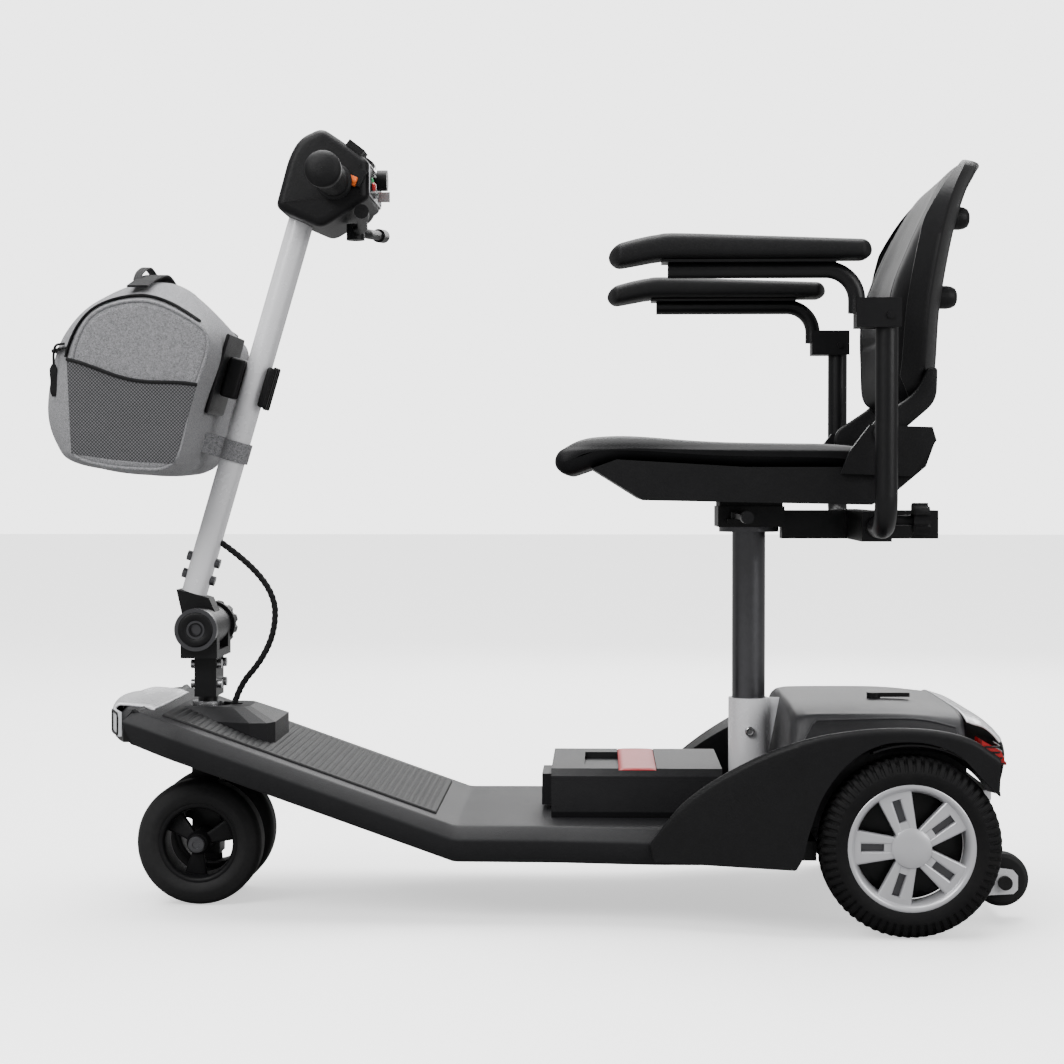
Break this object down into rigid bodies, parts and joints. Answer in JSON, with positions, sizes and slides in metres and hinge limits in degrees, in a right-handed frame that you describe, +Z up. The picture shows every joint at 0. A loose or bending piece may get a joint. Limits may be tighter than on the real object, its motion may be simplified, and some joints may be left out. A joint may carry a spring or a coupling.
{
  "type": "mobility scooter",
  "caption": "Compact battery mobility scooter with a tilting tiller, a swivel seat with flip-up arms, a low ribbed deck, a close-set front wheel pair and a fabric tiller bag",
  "frame": {"origin": "centre of the footprint at floor level", "axes": "+Z up, the scooter faces -X, its left side is -Y"},
  "size_m": [1.1397, 0.546, 0.926],
  "materials": {
    "main_frame": "satin light grey powder coat on the welded tube frame",
    "deck_pan": "fine-grained charcoal moulding",
    "deck_mat": "ribbed grey-black rubber",
    "nose_cap": "smooth silver-white lacquer",
    "headlamps": "clear lens over a bright reflector",
    "column_cover": "fine-grained charcoal moulding",
    "fender_left": "fine-grained black moulding",
    "fender_right": "fine-grained black moulding",
    "rear_cover": "fine-grained dark grey moulding",
    "rear_panel": "smooth silver-white lacquer",
    "tail_lamps": "clear red lens",
    "drive_unit": "black cast housing",
    "post_sleeve": "silver lacquer",
    "anti_tip_brackets": "bright plated plate",
    "chassis_screws": "bright plated screws",
    "freewheel_lever": "black moulding",
    "battery_case": "grained charcoal moulding",
    "battery_lid": "grained dark grey moulding",
    "battery_handle": "satin red moulding",
    "steering_fork": "black powder coat",
    "column_hardware": "plated steel",
    "hinge_lower": "black powder coat",
    "wiring_harness": "black spiral wrap",
    "front_rim_left": "black moulded rim",
    "front_rim_right": "black moulded rim",
    "front_tyre_left": "solid grey-black tyre",
    "front_tyre_right": "solid grey-black tyre",
    "rear_rim_left": "silver lacquered rim",
    "rear_rim_right": "silver lacquered rim",
    "rear_tyre_left": "black tyre with shoulder blocks",
    "rear_tyre_right": "black tyre with shoulder blocks",
    "anti_tip_wheels": "black rubber on a plated axle",
    "hinge_upper": "black powder coat",
    "tiller_tube": "silver-white lacquer",
    "tiller_bolts": "black steel bolts",
    "clamp_knob": "black fluted knob",
    "head_shell": "grained black moulding",
    "console_panel": "black panel with an orange switch",
    "hand_grips": "soft black grips on a steel bar",
    "throttle_lever": "black lever with grey tips",
    "speed_dial": "black domed dial",
    "horn_button": "green push button",
    "ignition_key": "steel key",
    "bag_body": "grey melange fabric with black piping",
    "bag_straps": "black clip plate and strap",
    "seat_post": "dark grey satin steel",
    "seat_swivel": "black powder coat",
    "swivel_lever": "black lever with a soft end",
    "seat_pan": "grained black moulding",
    "seat_cushion": "black vinyl cushion",
    "back_shell": "grained black moulding",
    "back_cushion": "black vinyl cushion",
    "arm_post_left": "black powder coat",
    "arm_post_right": "black powder coat",
    "arm_left": "black powder coat",
    "arm_right": "black powder coat",
    "arm_pad_left": "soft black moulded pad",
    "arm_pad_right": "soft black moulded pad",
    "arm_knob_left": "black star knob",
    "arm_knob_right": "black star knob"
  },
  "bodies": {
    "chassis": {"main_frame": "main_frame", "deck_pan": "deck_pan", "deck_mat": "deck_mat", "nose_cap": "nose_cap", "headlamps": "headlamps", "column_cover": "column_cover", "fender_left": "fender_left", "fender_right": "fender_right", "rear_cover": "rear_cover", "rear_panel": "rear_panel", "tail_lamps": "tail_lamps", "drive_unit": "drive_unit", "post_sleeve": "post_sleeve", "anti_tip_brackets": "anti_tip_brackets", "chassis_screws": "chassis_screws"},
    "freewheel": {"freewheel_lever": "freewheel_lever"},
    "battery": {"battery_case": "battery_case", "battery_lid": "battery_lid", "battery_handle": "battery_handle"},
    "steering": {"steering_fork": "steering_fork", "column_hardware": "column_hardware", "hinge_lower": "hinge_lower", "wiring_harness": "wiring_harness"},
    "front_wheel_left": {"front_rim_left": "front_rim_left", "front_tyre_left": "front_tyre_left"},
    "front_wheel_right": {"front_rim_right": "front_rim_right", "front_tyre_right": "front_tyre_right"},
    "rear_wheel_left": {"rear_rim_left": "rear_rim_left", "rear_tyre_left": "rear_tyre_left"},
    "rear_wheel_right": {"rear_rim_right": "rear_rim_right", "rear_tyre_right": "rear_tyre_right"},
    "anti_tip": {"anti_tip_wheels": "anti_tip_wheels"},
    "tiller": {"hinge_upper": "hinge_upper", "tiller_tube": "tiller_tube", "tiller_bolts": "tiller_bolts", "head_shell": "head_shell", "console_panel": "console_panel", "hand_grips": "hand_grips", "bag_body": "bag_body", "bag_straps": "bag_straps"},
    "hinge_knob": {"clamp_knob": "clamp_knob"},
    "throttle": {"throttle_lever": "throttle_lever"},
    "dial": {"speed_dial": "speed_dial"},
    "horn": {"horn_button": "horn_button"},
    "key": {"ignition_key": "ignition_key"},
    "post": {"seat_post": "seat_post"},
    "seat": {"seat_swivel": "seat_swivel", "seat_pan": "seat_pan", "seat_cushion": "seat_cushion"},
    "seat_lever": {"swivel_lever": "swivel_lever"},
    "backrest": {"back_shell": "back_shell", "back_cushion": "back_cushion"},
    "arm_post_l": {"arm_post_left": "arm_post_left"},
    "arm_post_r": {"arm_post_right": "arm_post_right"},
    "arm_l": {"arm_left": "arm_left", "arm_pad_left": "arm_pad_left"},
    "arm_r": {"arm_right": "arm_right", "arm_pad_right": "arm_pad_right"},
    "knob_l": {"arm_knob_left": "arm_knob_left"},
    "knob_r": {"arm_knob_right": "arm_knob_right"}
  },
  "joints": [
    {"name": "steer", "type": "hinge", "parent": "chassis", "child": "steering", "pos_m": [-0.408, 0, 0.205], "axis": [0, 0, 1], "range_deg": [-45, 45]},
    {"name": "tiller_fold", "type": "hinge", "parent": "steering", "child": "tiller", "pos_m": [-0.4125, 0, 0.329], "axis": [0, 1, 0], "range_deg": [-14, 12], "deforming": ["wiring_harness"]},
    {"name": "hinge_knob_turn", "type": "hinge", "parent": "tiller", "child": "hinge_knob", "pos_m": [-0.4125, 0.06, 0.329], "axis": [0, 1, 0], "range_deg": [0, 360]},
    {"name": "front_wheel_left_spin", "type": "hinge", "parent": "steering", "child": "front_wheel_left", "pos_m": [-0.408, -0.048, 0.075], "axis": [0, 1, 0], "continuous": true},
    {"name": "front_wheel_right_spin", "type": "hinge", "parent": "steering", "child": "front_wheel_right", "pos_m": [-0.408, 0.048, 0.075], "axis": [0, 1, 0], "continuous": true},
    {"name": "rear_wheel_left_spin", "type": "hinge", "parent": "chassis", "child": "rear_wheel_left", "pos_m": [0.4153, -0.2175, 0.1015], "axis": [0, 1, 0], "continuous": true},
    {"name": "rear_wheel_right_spin", "type": "hinge", "parent": "chassis", "child": "rear_wheel_right", "pos_m": [0.4153, 0.2175, 0.1015], "axis": [0, 1, 0], "continuous": true},
    {"name": "anti_tip_spin", "type": "hinge", "parent": "chassis", "child": "anti_tip", "pos_m": [0.536, 0, 0.046], "axis": [0, 1, 0], "continuous": true},
    {"name": "freewheel_turn", "type": "hinge", "parent": "chassis", "child": "freewheel", "pos_m": [0.395, -0.06, 0.252], "axis": [0, 0, 1], "range_deg": [0, 40]},
    {"name": "battery_lift", "type": "slide", "parent": "chassis", "child": "battery", "axis": [0, 0, 1], "range_m": [0, 0.15]},
    {"name": "seat_height", "type": "slide", "parent": "chassis", "child": "post", "axis": [0, 0, 1], "range_m": [0, 0.05]},
    {"name": "seat_turn", "type": "hinge", "parent": "post", "child": "seat", "pos_m": [0.2515, 0, 0.46], "axis": [0, 0, 1], "continuous": true},
    {"name": "seat_lever_turn", "type": "hinge", "parent": "seat", "child": "seat_lever", "pos_m": [0.235, -0.056, 0.466], "axis": [0, 0, 1], "range_deg": [0, 15], "stiffness_Nm_per_rad": 0.6, "springref_deg": -11.46},
    {"name": "backrest_fold", "type": "hinge", "parent": "seat", "child": "backrest", "pos_m": [0.3855, 0, 0.56], "axis": [0, 1, 0], "range_deg": [-80, 0]},
    {"name": "arm_left_slide", "type": "slide", "parent": "seat", "child": "arm_post_l", "axis": [0, -1, 0], "range_m": [0, 0.03]},
    {"name": "arm_right_slide", "type": "slide", "parent": "seat", "child": "arm_post_r", "axis": [0, 1, 0], "range_m": [0, 0.03]},
    {"name": "arm_left_flip", "type": "hinge", "parent": "arm_post_l", "child": "arm_l", "pos_m": [0.387, -0.245, 0.687], "axis": [0, 1, 0], "range_deg": [0, 95]},
    {"name": "arm_right_flip", "type": "hinge", "parent": "arm_post_r", "child": "arm_r", "pos_m": [0.387, 0.245, 0.687], "axis": [0, 1, 0], "range_deg": [0, 95]},
    {"name": "arm_knob_left_turn", "type": "hinge", "parent": "seat", "child": "knob_l", "pos_m": [0.427, -0.15, 0.462], "axis": [1, 0, 0], "range_deg": [0, 180]},
    {"name": "arm_knob_right_turn", "type": "hinge", "parent": "seat", "child": "knob_r", "pos_m": [0.427, 0.15, 0.462], "axis": [1, 0, 0], "range_deg": [0, 180]},
    {"name": "throttle_turn", "type": "hinge", "parent": "tiller", "child": "throttle", "pos_m": [-0.226, 0, 0.811], "axis": [0, 0, 1], "range_deg": [-12, 12], "stiffness_Nm_per_rad": 0.4},
    {"name": "dial_turn", "type": "hinge", "parent": "tiller", "child": "dial", "pos_m": [-0.19, 0, 0.872], "axis": [1, 0, 0], "range_deg": [-135, 135]},
    {"name": "horn_press", "type": "slide", "parent": "tiller", "child": "horn", "axis": [-1, 0, 0], "range_m": [0, 0.002], "stiffness_N_per_m": 400, "springref_m": -0.001},
    {"name": "key_turn", "type": "hinge", "parent": "tiller", "child": "key", "pos_m": [-0.19, 0, 0.854], "axis": [1, 0, 0], "range_deg": [0, 60]}
  ]
}
